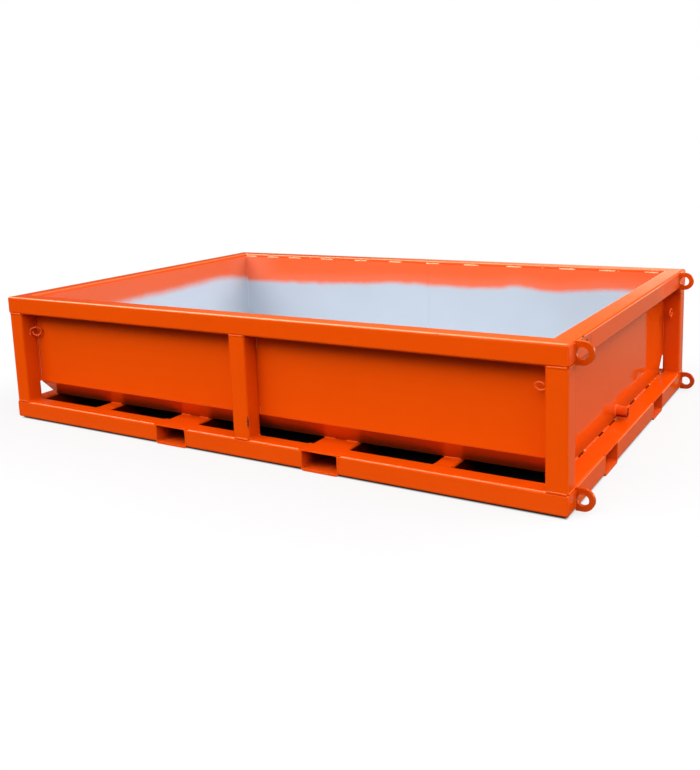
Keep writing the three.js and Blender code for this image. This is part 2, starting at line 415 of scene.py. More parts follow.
def opaque(colour):
    return (*colour, 1.0) if isinstance(colour, tuple) else colour


def blend(tree, factor, first, second):
    """The first colour where the factor is 0, and the second where it is 1."""
    inputs = {0: factor, 6: opaque(first), 7: opaque(second)}
    return add_node(tree, "Mix", inputs, data_type="RGBA").outputs[2]


def bump(tree, height, depth, normal=None):
    inputs = {"Strength": 1.0, "Distance": depth, "Height": height}
    if normal is not None:
        inputs["Normal"] = normal
    return add_node(tree, "Bump", inputs).outputs[0]


# Light and floor

def sky_strength(tree, height, levels, sky_span, zenith_span):
    low, middle, high = levels
    sky = ramp(tree, height, *sky_span, low, middle)
    zenith = ramp(tree, height, *zenith_span, 0.0, high - middle)
    return calculate(tree, "ADD", sky, zenith)


def soft_light(tree, direction):
    """The sky that lights diffuse surfaces, stronger from some sides than from others."""
    axes = split_axes(tree, direction)
    facing = dot_product(tree, direction, brighter_side)
    side = calculate(tree, "MULTIPLY_ADD", facing, side_contrast, 1.0)
    corners = multiply(tree, axes[0], axes[1])
    side = calculate(tree, "MULTIPLY_ADD", corners, corner_contrast, side)
    side = calculate(tree, "MAXIMUM", side, least_side)
    return multiply(tree, sky_strength(tree, axes[2], *soft_sky), side)


def mirrored_light(tree, direction):
    """The sky that glossy rays see, with its haze, glow and bright patch."""
    axes = split_axes(tree, direction)
    haze = ramp(tree, axes[2], *haze_span, mirrored_haze, 0.0)
    glow = ramp(tree, axes[2], *glow_span, mirrored_glow, 0.0)
    glow = multiply(tree, glow, ramp(tree, axes[0], *glow_side_span))
    lamp = ramp(tree, dot_product(tree, direction, lamp_direction), *lamp_span, 0.0, lamp_level)
    light = sky_strength(tree, axes[2], *mirrored_sky)
    for extra in (haze, glow, lamp):
        light = calculate(tree, "ADD", light, extra)
    return light


def seen_mask(tree, path):
    """1 for rays from the camera, also through clear pieces."""
    return calculate(tree, "MAXIMUM", path["Is Camera Ray"], path["Is Transmission Ray"])


def build_world():
    world = bpy.data.worlds.new("studio")
    tree = empty_tree(world)
    direction = add_node(tree, "TexCoord").outputs["Generated"]
    path = add_node(tree, "LightPath").outputs
    glossy = path["Is Glossy Ray"]
    seen = seen_mask(tree, path)
    light = choose(tree, glossy, soft_light(tree, direction), mirrored_light(tree, direction))
    plain = calculate(tree, "MAXIMUM", seen, calculate(tree, "SUBTRACT", 1.0, glossy))
    colour = blend(tree, plain, mirrored_tint, white)
    inputs = {"Color": colour, "Strength": choose(tree, seen, light, 1.0)}
    background = add_node(tree, "Background", inputs)
    add_node(tree, "OutputWorld", {"Surface": background.outputs[0]})
    scene.world = world


def distance_past_frame(tree):
    """How far a place lies outside the frame's outline on the ground; negative inside it."""
    place = surface_axes(tree, "Position")
    across = calculate(tree, "ABSOLUTE", calculate(tree, "SUBTRACT", place[0], frame_middle_x))
    past_end = calculate(tree, "SUBTRACT", across, (frame_right - frame_left) / 2)
    past_side = calculate(tree, "SUBTRACT", calculate(tree, "ABSOLUTE", place[1]), frame_back)
    return calculate(tree, "MAXIMUM", past_end, past_side)


def mirrored_floor_level(tree):
    """How light the floor looks in the paint, by its place from the front to far behind."""
    front, behind, far = floor_levels_mirrored
    place_y = surface_axes(tree, "Position")[1]
    past_front = ramp(tree, place_y, frame_front - yard_edge, frame_front + yard_edge)
    near = ramp(tree, past_front, 0.0, 1.0, front, behind)
    return calculate(tree, "ADD", near, ramp(tree, place_y, *far_span, 0.0, far - behind))


def build_floor():
    mesh = bpy.data.meshes.new("floor")
    reach = floor_half_size
    corners = [(-reach, -reach, 0), (reach, -reach, 0), (reach, reach, 0), (-reach, reach, 0)]
    mesh.from_pydata(corners, [], [(0, 1, 2, 3)])
    floor = add_object("floor", mesh)
    material = bpy.data.materials.new("pale_floor")
    tree = empty_tree(material)
    path = add_node(tree, "LightPath").outputs
    seen = seen_mask(tree, path)
    outside = ramp(tree, distance_past_frame(tree), -footprint_edge, 0.0)
    level = choose(tree, seen, floor_level, floor_level_seen)
    level = choose(tree, path["Is Glossy Ray"], level, mirrored_floor_level(tree))
    # Under the skip the floor is dark to all rays: a painted shadow
    level = choose(tree, outside, floor_level_painted_shadow, level)
    tint = blend(tree, path["Is Glossy Ray"], white, mirrored_tint)
    colour = add_node(tree, "VectorMath", {0: tint, "Scale": level}, operation="SCALE").outputs[0]
    diffuse = add_node(tree, "BsdfDiffuse", {"Color": colour})
    glow = multiply(tree, seen, floor_glow, outside)
    emission = add_node(tree, "Emission", {"Color": opaque(white), "Strength": glow})
    both = add_node(tree, "AddShader", {0: diffuse.outputs[0], 1: emission.outputs[0]})
    add_node(tree, "OutputMaterial", {"Surface": both.outputs[0]})
    mesh.materials.append(material)


# Materials. Each finish returns its colour, its roughness and the normal of its surface.

def make_material(name, finish, **choices):
    material = bpy.data.materials.new(name)
    tree = empty_tree(material)
    place = add_node(tree, "TexCoord").outputs["Object"]
    made = finish(tree, place, **choices)
    inputs = dict(zip(("Base Color", "Roughness", "Normal"), made))
    shader = add_node(tree, "BsdfPrincipled", inputs)
    add_node(tree, "OutputMaterial", {"Surface": shader.outputs[0]})
    return material


def paint_colour(tree, place, lighter=orange_paint):
    """Orange enamel, a little deeper in broad patches and finely mottled."""
    patches = multiply(tree, noise_at(tree, place, patch_noise), patch_share)
    mottle = multiply(tree, noise_at(tree, place, mottle_noise), 1 - patch_share)
    both = ramp(tree, calculate(tree, "ADD", patches, mottle), *patch_span)
    return blend(tree, both, orange_deep, lighter)


def paint_roughness(tree, place):
    return ramp(tree, noise_at(tree, place, gloss_noise), *gloss_span, *gloss_roughness)


def paint_surface(tree, place):
    """The wave of the steel under the paint, and the paint's own orange peel."""
    waved = bump(tree, noise_at(tree, place, panel_wave_noise), panel_wave_depth)
    return bump(tree, noise_at(tree, place, peel_noise), peel_depth, waved)


def near_spots(tree, place, spots):
    """1 at the listed spots, fading to 0 at their reach."""
    total = None
    for centre, reach in spots:
        offset = vector_result(tree, "SUBTRACT", place, from_corner(*centre))
        scaled = vector_result(tree, "DIVIDE", offset, reach)
        distance = vector_result(tree, "LENGTH", scaled, output="Value")
        near = ramp(tree, distance, spot_core_share, 1.0, 1.0, 0.0)
        total = near if total is None else calculate(tree, "MAXIMUM", total, near)
    return total


def scuff_mask(tree, place):
    """Dark chips and scratches at the places where the photograph shows them."""
    grain = noise_at(tree, place, scuff_noise)
    return ramp(tree, multiply(tree, near_spots(tree, place, scuffs), grain), *scuff_span)


def base_painted_shade_mask(tree, place):
    """1 on the base's inner sides under the tub, where painted shade darkens the paint."""
    height = split_axes(tree, place)[2]
    fade_end = low_rail_top - base_shade_fade / 2
    low = ramp(tree, height, low_rail_top - base_shade_fade, fade_end, 1.0, 0.0)
    deep = ramp(tree, distance_past_frame(tree), *base_shade_reach, 1.0, 0.0)
    return multiply(tree, low, deep)


def top_painted_sheen_mask(tree, place):
    """1 on the top rails' upper faces, lightened as a painted sheen, less so towards the left end.
    """
    axes = split_axes(tree, place)
    upper = ramp(tree, axes[2], frame_top - sheen_depth, frame_top - sheen_depth / 2)
    level = ramp(tree, surface_axes(tree, "Normal")[2], *sheen_tilt_span)
    along = ramp(tree, axes[0], *(frame_left + reach for reach in sheen_reach))
    return multiply(tree, upper, level, along)


def add_painted_shade_and_wear(tree, place, paint, scuffed):
    """Paint darkened by painted shade on the base's inner sides, and scuffed."""
    paint = blend(tree, base_painted_shade_mask(tree, place), paint, painted_shade_dark)
    return blend(tree, scuffed, paint, scuff_dark)


def enamel(tree, place, share=1.0, lighter=orange_paint):
    """Enamel with scuffs, painted sheen on the top rails and painted shade in the base. The share
    tells how light its colour is beside the frame's.
    """
    scuffed = scuff_mask(tree, place)
    paint = blend(tree, share, black, paint_colour(tree, place, lighter))
    paint = blend(tree, top_painted_sheen_mask(tree, place), paint, orange_painted_sheen)
    colour = add_painted_shade_and_wear(tree, place, paint, scuffed)
    dull = calculate(tree, "MAXIMUM", scuffed, near_spots(tree, place, dull_spots))
    rough = calculate(tree, "MULTIPLY_ADD", dull, dull_roughness, paint_roughness(tree, place))
    return colour, rough, paint_surface(tree, place)


def facing_in(tree, offset):
    """1 where a surface faces the centre that the offset is measured from."""
    normal = add_node(tree, "NewGeometry").outputs["Normal"]
    return calculate(tree, "LESS_THAN", dot_product(tree, offset, normal), 0.0)


def drain_enamel(tree, place):
    """Enamel that is dull, and darker towards its underside: painted shade."""
    height = split_axes(tree, add_node(tree, "TexCoord").outputs["Generated"])[2]
    underside_shade = ramp(tree, height, *drain_shade_span, 1.0, 0.0)
    colour = blend(tree, underside_shade, paint_colour(tree, place), drain_shade_dark)
    return colour, drain_roughness, paint_surface(tree, place)


def pocket_enamel(tree, place):
    """Enamel outside; thin, dull paint inside a fork pocket, darkened away from its mouth by
    painted shade.
    """
    box_share = add_node(tree, "TexCoord").outputs["Generated"]
    inside = facing_in(tree, vector_result(tree, "SUBTRACT", box_share, box_middle))
    shade_jitter = centred_noise(tree, place, pocket_noise)
    depth = calculate(tree, "MULTIPLY_ADD", shade_jitter, pocket_shade_jitter, distance_past_frame(tree))
    # Painted shade: the thin paint darkens deeper inside the pocket
    thin = blend(tree, ramp(tree, depth, *pocket_shade_span), pocket_shade_dark, orange_deep)
    outside = add_painted_shade_and_wear(tree, place, paint_colour(tree, place), scuff_mask(tree, place))
    rough = calculate(tree, "MULTIPLY_ADD", inside, pocket_roughness, paint_roughness(tree, place))
    return blend(tree, inside, outside, thin), rough, paint_surface(tree, place)


def edge_height(tree, along, points, length):
    """The overspray edge's height along a wall, as a curve through the listed points."""
    curve = add_node(tree, "FloatCurve", {"Value": calculate(tree, "DIVIDE", along, length)})
    knots = curve.mapping.curves[0].points
    while len(knots) < len(points):
        knots.new(0, 0)
    for knot, (x, z) in zip(knots, points):
        knot.location = (x / length, z)
    curve.mapping.update()
    return curve.outputs[0]


def above_edge(tree, place, x, y, z, on_end):
    """How far a place lies over the overspray's wavy, grainy lower edge."""
    side_edge = edge_height(tree, x, back_overspray, frame_right - frame_left)
    end_edge = edge_height(tree, y, end_overspray, frame_back - frame_front)
    waves = centred_noise(tree, place, overspray_wave_noise)
    grain = centred_noise(tree, place, overspray_grain_noise)
    lifted = calculate(tree, "MULTIPLY_ADD", waves, overspray_waves, z)
    lifted = calculate(tree, "MULTIPLY_ADD", grain, overspray_grain, lifted)
    return calculate(tree, "SUBTRACT", lifted, choose(tree, on_end, side_edge, end_edge))


def thin_mask(tree, x, y, above, on_end):
    """1 where the overspray is thin: near its edge, partly on the ends, and in the back left."""
    thin = ramp(tree, above, 0.0, thin_paint_height, 1.0, 0.0)
    thin = calculate(tree, "MAXIMUM", thin, multiply(tree, on_end, thin_on_ends_share))
    from_left = calculate(tree, "SUBTRACT", x, left_plate[1].x - frame_left)
    from_back = calculate(tree, "SUBTRACT", tub_back - frame_front, y)
    from_corner_line = calculate(tree, "MAXIMUM", from_left, from_back)
    corner = ramp(tree, from_corner_line, *thin_corner_reach, 1.0, 0.0)
    return calculate(tree, "MAXIMUM", thin, corner)


def overspray(tree, place):
    """How far the orange covers the sheet inside the tub, how thin it is, and how light: it is
    darker on the end walls, as painted shade.
    """
    axes = split_axes(tree, place)
    x = calculate(tree, "SUBTRACT", axes[0], frame_left)
    y = calculate(tree, "SUBTRACT", axes[1], frame_front)
    z = calculate(tree, "SUBTRACT", axes[2], rail_under)
    tilt = calculate(tree, "ABSOLUTE", surface_axes(tree, "Normal")[0])
    on_end = calculate(tree, "GREATER_THAN", tilt, end_wall_tilt)
    above = above_edge(tree, place, x, y, z, on_end)
    share = choose(tree, on_end, 1.0, end_fade_share)
    low, high = (multiply(tree, share, reach) for reach in overspray_fade)
    cover = ramp(tree, above, low, high)
    thin = thin_mask(tree, x, y, above, on_end)
    return cover, thin, choose(tree, on_end, 1.0, end_wall_shade_share)


def tub_finish(tree, place):
    """Enamel outside. Inside, pale primed sheet with orange overspray along the rim."""
    inside = facing_in(tree, vector_result(tree, "SUBTRACT", place, tub_centre))
    cover, thin, light = overspray(tree, place)
    bare = multiply(tree, inside, calculate(tree, "SUBTRACT", 1.0, cover))
    cloud = ramp(tree, noise_at(tree, place, cloud_noise), *cloud_span)
    sheet = blend(tree, cloud, pale_sheet_dull, pale_sheet)
    # light darkens the overspray on the end walls as painted shade
    sprayed = blend(tree, light, black, blend(tree, thin, orange_inside, orange_thin))
    height = split_axes(tree, place)[2]
    # Painted shade: the outside darkens towards the tub's underside
    under = ramp(tree, height, tub_under, tub_under + tub_chamfer, under_shade_share, 0.0)
    outside = blend(tree, under, paint_colour(tree, place), painted_shade_dark)
    colour = blend(tree, bare, blend(tree, inside, outside, sprayed), sheet)
    rough = choose(tree, inside, paint_roughness(tree, place), sheet_roughness)
    return colour, rough, paint_surface(tree, place)


def painted_weld(tree, place):
    """Enamel over a rough bead."""
    rough_bead = bump(tree, noise_at(tree, place, weld_grain_noise), weld_grain_depth)
    return paint_colour(tree, place), paint_roughness(tree, place), rough_bead


def dusted_weld_and_highlight(tree, place):
    """A rough bead that the spray only dusted, with pale patches that are partly a painted
    highlight.
    """
    colour, rough, rough_bead = painted_weld(tree, place)
    dusting_and_highlight = ramp(tree, noise_at(tree, place, dusting_and_highlight_noise), *dusting_and_highlight_span)
    return blend(tree, dusting_and_highlight, colour, pale_weld_and_highlight), rough, rough_bead


# Mesh pieces

def add_piece(name, vertices, faces, material):
    mesh = bpy.data.meshes.new(name)
    mesh.from_pydata(vertices, [], faces)
    shape = bmesh.new()
    shape.from_mesh(mesh)
    bmesh.ops.recalc_face_normals(shape, faces=shape.faces)
    shape.to_mesh(mesh)
    shape.free()
    mesh.shade_smooth()
    mesh.set_sharp_from_angle(angle=bead_sharp_angle)
    mesh.materials.append(material)
    piece = add_object(name, mesh)
    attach(piece, "root")


def ring_faces(first, around, rings, closed):
    """Four-sided faces between rings of points, each ring joined to the next one."""
    faces = []
    for ring in range(rings if closed else rings - 1):
        here = first + ring * around
        there = first + (ring + 1) % rings * around
        for index in range(around):
            after = (index + 1) % around
            faces.append((here + index, here + after, there + after, there + index))
    return faces


def fillet_section(leg=fillet_leg):
    """A bead in the corner of two surfaces: u along one, v along the other. The last points lie
    in the steel."""
    points = []
    for step in range(section_steps + 1):
        angle = math.pi / 2 * step / section_steps
        bulge = 1 + fillet_bulge_share * math.sin(2 * angle)
        reach = leg / (math.cos(angle) + math.sin(angle)) * bulge
        points.append((reach * math.cos(angle), reach * math.sin(angle)))
    return points + [(-bead_sink, leg), (-bead_sink, -bead_sink), (leg, -bead_sink)]


def flush_section(width=flush_width, height=flush_height, depth=bead_sink):
    """A low bead on one surface: u across it and v out of it. The last points lie in the steel."""
    points = []
    for step in range(section_steps + 1):
        angle = math.pi * step / section_steps
        points.append((width / 2 * math.cos(angle), height * math.sin(angle)))
    return points + [(-width / 2, -depth), (width / 2, -depth)]


def fill_section(width, depth):
    """A ground fill between two rounded edges: flat, and a hair proud of the steel."""
    edge = width / 2
    rim = ground_height / 3
    return [(edge, rim), (0, ground_height), (-edge, rim), (-edge / 2, -depth), (edge / 2, -depth)]


def round_section(radius):
    """A bead that closes the slit between two edges."""
    points = []
    for step in range(2 * section_steps):
        angle = math.pi * step / section_steps
        points.append((radius * math.cos(angle), radius * math.sin(angle)))
    return points


class Beads:
    """Weld beads gathered into one mesh."""

    def __init__(self):
        self.vertices = []
        self.faces = []
        self.count = 0

    def join(self, first, around, rings, closed):
        """Faces over the rings of points from the first one on, with both ends capped."""
        self.faces += ring_faces(first, around, rings, closed)
        if not closed:
            last = first + (rings - 1) * around
            self.faces.append(tuple(range(first + around - 1, first - 1, -1)))
            self.faces.append(tuple(range(last, last + around)))

    def strip(self, start, end, across, out, section):
        """A straight strip with square ends."""
        first = len(self.vertices)
        for place in (start, end):
            self.vertices += [place + across * u + out * v for u, v in section]
        self.join(first, len(section), 2, False)

    def size_at(self, distance, length, closed):
        """Rounded ends and slow waves along a bead."""
        nearest_end = bead_end if closed else min(distance, length - distance, bead_end)
        taper = math.sqrt(max(0.0, 1 - (1 - nearest_end / bead_end) ** 2))
        wave = noise.noise(Vector((distance / bead_wave_length, self.count * math.pi, 0)))
        return max(least_bead_share, taper * (1 + bead_wave_share * wave))

    def sweep(self, stations, length, section, closed=False, rippled=True):
        """Draws the section in across and out at each station: distance, place, across, out."""
        self.count += 1
        first = len(self.vertices)
        for distance, place, across, out in stations:
            size = self.size_at(distance, length, closed)
            for index, (u, v) in enumerate(section):
                ripple = 1.0
                if rippled and index <= section_steps:
                    lag = math.sin(math.pi * index / section_steps)
                    turn = math.tau * (distance / bead_ripple_length - lag / 2)
                    ripple += bead_ripple_share * math.cos(turn)
                self.vertices.append(place + (across * u + out * v) * size * ripple)
        self.join(first, len(section), len(stations), closed)

    def line(self, start, end, across, out, section, rippled=True):
        length = (end - start).length
        steps = max(least_bead_steps, round(length / bead_step))
        stations = []
        for step in range(steps + 1):
            share = step / steps
            stations.append((length * share, start.lerp(end, share), across, out))
        self.sweep(stations, length, section, rippled=rippled)

    def row(self, spans, start, along, across, out, section, rippled=True):
        """Beads along a line, at the given spans from its start."""
        for first, second in spans:
            self.line(start + along * first, start + along * second, across, out, section, rippled)

    def upright(self, x, y, inset, across, out, section, low=rail_under, high=low_rail_top):
        """A bead up the low rails' height, or from low to high, an inset short of both ends."""
        foot = Vector((x, y, low + inset))
        head = Vector((x, y, high - inset))
        self.line(foot, head, across, out, section)

    def ring(self, centre, axis, radius, section):
        """A bead round a pipe on a wall: across is away from the axis and out is along it."""
        side = axis.orthogonal().normalized()
        length = math.tau * radius
        stations = []
        for step in range(ring_steps):
            across = Matrix.Rotation(math.tau * step / ring_steps, 3, axis) @ side
            distance = length * step / ring_steps
            stations.append((distance, centre + across * radius, across, axis))
        self.sweep(stations, length, section, closed=True)


# Welds of the frame

def post_sides(low, high):
    """Each side of a post: its middle, the way it faces and the way across it."""
    middle = (low + high) / 2
    for facing, along in ((along_x, along_y), (along_y, along_x)):
        for sign in (-1, 1):
            out = facing * sign
            yield middle + out * abs((high - low).dot(facing)) / 2, out, along


def lies_on_outside(place, out):
    """Whether the side of a post is flush with the frame's outside."""
    axis = 0 if out.x else 1
    limits = ((frame_left, frame_right), (frame_front, frame_back))[axis]
    limit = limits[1] if out[axis] > 0 else limits[0]
    return abs(place[axis] - limit) < flush_tolerance


def weld_posts(beads):
    """Beads at the foot and head of each post, but not behind the middle ones, by the tub."""
    half = (tube_size - corner_radius) / 2
    for name in corner_posts + mid_posts:
        low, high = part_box(name)
        for face, out, along in post_sides(low, high):
            outside = lies_on_outside(face, out)
            if name in mid_posts and out.y and not outside:
                continue
            for height, rise in ((low.z, 1), (high.z, -1)):
                middle = Vector((face.x, face.y, height))
                ends = (middle - along * half, middle + along * half)
                if outside:
                    beads.line(*ends, up, out, flush_section())
                else:
                    beads.line(*ends, out, up * rise, fillet_section())


def tube_outline(proud):
    """Points round a tube's section: depth in from its outer face, and height over its
    underside. proud is how far they stand out of the tube."""
    far = tube_size - corner_radius
    near = corner_radius
    reach = corner_radius + proud
    points = []
    for quarter, (depth, height) in enumerate(((far, far), (near, far), (near, near), (far, near))):
        for step in range(mitre_corner_steps + 1):
            angle = (quarter + step / mitre_corner_steps) * math.pi / 2
            points.append((depth + reach * math.cos(angle), height + reach * math.sin(angle)))
    return points


def mitre_band(name, corner, x_in, y_in):
    """Rings round the tube's section, on both sides of the mitre and proud of it between."""
    inward = Vector((x_in, y_in, 0))
    across = Vector((x_in, -y_in, 0)).normalized()
    vertices = []
    rings = (
        (-mitre_half_width, -mitre_inside), (-mitre_half_width, 0), (0, ground_height),
        (mitre_half_width, 0), (mitre_half_width, -mitre_inside),
    )
    for offset, proud in rings:
        outline = tube_outline(proud)
        middle = corner + across * offset
        vertices += [middle + inward * depth + up * height for depth, height in outline]
    faces = ring_faces(0, len(outline), len(rings), True)
    add_piece(name, vertices, faces, materials["weld"])


def weld_mitres():
    """The ground mitre welds: a thin band round each rail corner, a hair proud of the tubes."""
    for end, x, x_out in frame_ends:
        for side, y, y_out in frame_sides:
            for rail, low in (("top", top_rail_under), ("bottom", rail_under)):
                name = f"weld_mitre_{rail}_{side}_{end}"
                mitre_band(name, Vector((x, y, low)), -x_out, -y_out)


def weld_pocket_side(beads, face, out, across, away):
    """Where one side of a pocket passes a rail: a low bead on the rail's face, a ground fill
    over the rail and a bead behind it. away is the sign of the way off the pocket."""
    inner = face - out * tube_size
    fill = fill_section(
        2 * corner_radius + pocket_groove_extra, corner_radius * pocket_groove_depth_share,
    )
    face_bead = flush_section(seam_width, seam_height)
    beads.upright(face.x, face.y, corner_radius / 2, across, out, face_bead)
    level = up * low_rail_top
    beads.strip(face - out * groove_inset + level, inner + level, across, up, fill)
    beads.upright(inner.x, inner.y, corner_radius, across * away, -out, fillet_section())


def weld_pockets(beads):
    """Beads between the cut rails and the fork pockets, ground flush on top."""
    for name in ("fork_pocket_left", "fork_pocket_right"):
        low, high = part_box(name)
        for x, away in ((low.x, -1), (high.x, 1)):
            for _, y, out in frame_sides:
                weld_pocket_side(beads, Vector((x, y, 0)), along_y * out, along_x, away)
    for end, x, out in frame_ends:
        for side, _, _ in frame_sides:
            low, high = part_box(f"end_pocket_{end}_{side}")
            for y, away in ((low.y, -1), (high.y, 1)):
                weld_pocket_side(beads, Vector((x, y, 0)), along_x * out, along_y, away)


def weld_cross_members(beads):
    """Welds of the cross members to the long rails and to the short end pockets."""
    fill = fill_section(
        corner_radius + member_groove_extra, corner_radius * member_groove_depth_share,
    )
    bead = fillet_section()
    for end, _, _ in frame_ends:
        low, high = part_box(f"cross_member_{end}")
        for _, face, out in frame_sides:
            y = face - out * tube_size
            first = Vector((low.x + corner_radius / 2, y, low_rail_top))
            second = Vector((high.x - corner_radius / 2, y, low_rail_top))
            beads.strip(first, second, along_y, up, fill)
            for x, away in ((low.x, -1), (high.x, 1)):
                beads.upright(x, y, corner_radius, along_x * away, along_y * -out, bead)
    for end, _, away in frame_ends:
        low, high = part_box(f"cross_member_{end}")
        x = low.x if away < 0 else high.x
        for side, _, _ in frame_sides:
            low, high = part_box(f"end_pocket_{end}_{side}")
            for y, sign in ((low.y, -1), (high.y, 1)):
                beads.upright(x, y, corner_radius, along_y * sign, along_x * away, bead)


def weld_lugs(beads):
    inset = corner_radius * lug_bead_inset_share
    bead = fillet_section(lug_leg)
    for side, _, _ in frame_sides:
        for rail in ("top", "bottom"):
            low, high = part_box(f"lug_{rail}_{side}")
            for y, sign in ((low.y, -1), (high.y, 1)):
                out = along_y * sign
                beads.upright(frame_right, y, inset, along_x, out, bead, low.z, high.z)


def weld_hook(beads, side, end_name):
    """Two short beads along a tarp hook's shank, on the face of its corner post."""
    on_long_side = side in ("front", "back")
    post = f"corner_post_{side}_{end_name}" if on_long_side else f"corner_post_{end_name}_{side}"
    out, across = (along_x, along_y) if on_long_side else (along_y, along_x)
    if end_name in ("right", "back"):
        out = -out
    face = sum(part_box(post), Vector()) / 2 + out * tube_size / 2
    name = f"tarp_hook_{side}_{end_name}"
    low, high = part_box(name)
    half = (high.z - low.z) / 2 - hook_bar_radius
    shares = flat_hook_weld_shares if name in flat_hooks else tall_hook_weld_shares
    spans = [[half * share for share in shares]]
    face.z = (low.z + high.z) / 2
    section = flush_section(hook_weld_width, hook_weld_height)
    for sign in (-1, 1):
        beads.row(spans, face + across * sign * hook_bar_radius, up, across, out, section)


def weld_hooks(beads):
    for faces, crossing in ((frame_sides, frame_ends), (frame_ends, frame_sides)):
        for side, _, _ in faces:
            for end_name, _, _ in crossing:
                weld_hook(beads, side, end_name)


# Welds of the tub

def tub_profile(inside):
    """The tub's outline in Y and Z, from the front rim round the floor to the back rim."""
    gap = sheet_thickness if inside else 0.0
    slope = tub_chamfer + gap * math.tan(math.pi / 8)
    half = [(gap, tub_top), (gap, tub_under + slope), (slope, tub_under + gap)]
    front = [Vector((0, tub_front + y, z)) for y, z in half]
    back = [Vector((0, tub_back - y, z)) for y, z in reversed(half)]
    return front + back


def profile_beads(beads, x, section, inside, lean=1):
    """Beads along the tub's outline at one x. lean is the sign of the way that they lean."""
    outline = tub_profile(inside)
    for first, second in zip(outline, outline[1:]):
        inward = along_x.cross((second - first).normalized())
        out = inward if inside else -inward
        beads.line(first + along_x * x, second + along_x * x, along_x * lean, out, section)


def weld_tub_ends(beads):
    for x, lean in ((left_plate[1].x, 1), (right_plate[0].x, -1)):
        profile_beads(beads, x, fillet_section(tub_seam_leg), True, lean)


def weld_tub_middle(beads):
    for inside in (True, False):
        profile_beads(beads, frame_middle_x, flush_section(seam_width, seam_height), inside)


def weld_back_rim(beads):
    """The stitches under the back rail that show in the photograph."""
    start = Vector((frame_left, frame_back - tube_size, tub_top))
    beads.row(back_rim_stitches, start, along_x, -along_y, up, fillet_section(rim_leg))


def even_stitches(length, pitch, stitch):
    """Evenly spaced stitches, each shifted a little, inside a length."""
    count = int(length / pitch)
    for index in range(count):
        shift = noise.noise(Vector((index * math.e, length, pitch))) * pitch * stitch_shift_share
        middle = (2 * index + 1) / 2 * length / count + shift
        yield middle - stitch / 2, middle + stitch / 2


def weld_painted_rims(beads):
    """The stitches under the inner edges of the front and right rails."""
    section = fillet_section(rim_leg)
    front = Vector((frame_left + tube_size, frame_front + tube_size, tub_top))
    length = frame_right - frame_left - 2 * tube_size
    right = front + along_x * length
    width = frame_back - frame_front - 2 * tube_size
    for start, room, along, across in (
        (front, length, along_x, along_y), (right, width, along_y, -along_x),
    ):
        spans = even_stitches(room, rim_stitch_pitch, rim_stitch_length)
        beads.row(spans, start, along, across, up, section)


def weld_end_wall(beads, rail_x, plate_x, out):
    """Long ground stitches between an end plate and a bottom rail, and dark slits between."""
    edge = Vector((rail_x + out * (corner_radius + slit_width) / 2, 0, low_rail_top))
    front = edge + along_y * (frame_front + tube_size)
    back = edge + along_y * (frame_back - tube_size)
    fill = fill_section(corner_radius - slit_width, corner_radius / 2)
    beads.strip(front, back, along_x, up, fill)
    slit_x = rail_x + out * slit_width
    middle = Vector(((plate_x + slit_x) / 2, frame_front, low_rail_top))
    foot = Vector((plate_x, frame_front, low_rail_top))
    width = abs(slit_x - plate_x) + 2 * bead_sink
    ground = flush_section(width, slit_width / 3, slit_width)
    fillet = fillet_section(foot_leg)
    for span in end_wall_stitches:
        beads.row([span], middle, along_y, along_x, up, ground, rippled=False)
        beads.row([span], foot, along_y, along_x * out, up, fillet, rippled=False)


def weld_end_walls(beads):
    weld_end_wall(beads, frame_right - tube_size, right_plate[1].x, 1)
    weld_end_wall(beads, frame_left + tube_size, left_plate[0].x, -1)


def weld_starts(beads):
    """The pale lumps where each stitch of the right end wall starts."""
    spans = [(start, start + weld_start_length) for start, _ in end_wall_stitches[1:]]
    seat = Vector((right_plate[1].x, frame_front, low_rail_top))
    beads.row(spans, seat, along_y, along_x, up, fillet_section(rim_leg), rippled=False)


def weld_floor_stitches(beads):
    """Stitches between the tub's floor edge and what carries it."""
    inset = floor_stitch_length * floor_stitch_inset_share
    spans = [(-floor_stitch_length / 2, floor_stitch_length / 2)]
    section = fillet_section(floor_leg)
    for name in tub_bearers:
        low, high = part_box(name)
        for y, out in ((tub_front + tub_chamfer, -1), (tub_back - tub_chamfer, 1)):
            slope = Vector((0, out, 1)).normalized()
            for x in (low.x + inset, high.x - inset):
                middle = Vector((x, y, low_rail_top))
                beads.row(spans, middle, along_x, along_y * out, slope, section)


def weld_tub_to_posts(beads):
    """Long beads between the corner posts and the tub's corners."""
    rounding = corner_radius * (1 - math.sqrt(1 / 2))
    heights = (tub_under + tub_chamfer, top_rail_under)
    for name in corner_posts:
        low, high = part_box(name)
        across = (low.x + rounding, right_plate[1].x)
        if "left" in name:
            across = (high.x - rounding, left_plate[0].x)
        deep = (high.y - rounding, tub_front) if "front" in name else (low.y + rounding, tub_back)
        middle = (sum(across) / 2, sum(deep) / 2)
        beads.upright(*middle, 0, along_x, along_y, round_section(seal_radius), *heights)


def weld_mid_posts(beads):
    """Short stitches beside the middle posts."""
    for name in mid_posts:
        low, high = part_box(name)
        wall_y, out = (tub_front, -along_y) if "front" in name else (tub_back, along_y)
        for x, sign_x in ((low.x, -1), (high.x, 1)):
            foot = Vector((x, wall_y, rail_under))
            beads.row(mid_post_stitches, foot, up, along_x * sign_x, out, fillet_section())


def weld_drain(beads):
    low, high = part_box("drain_socket")
    centre = (low + high) / 2
    centre.x = right_plate[1].x
    beads.ring(centre, along_x, (high.z - low.z) / 2, fillet_section())


# Carried-over nodes

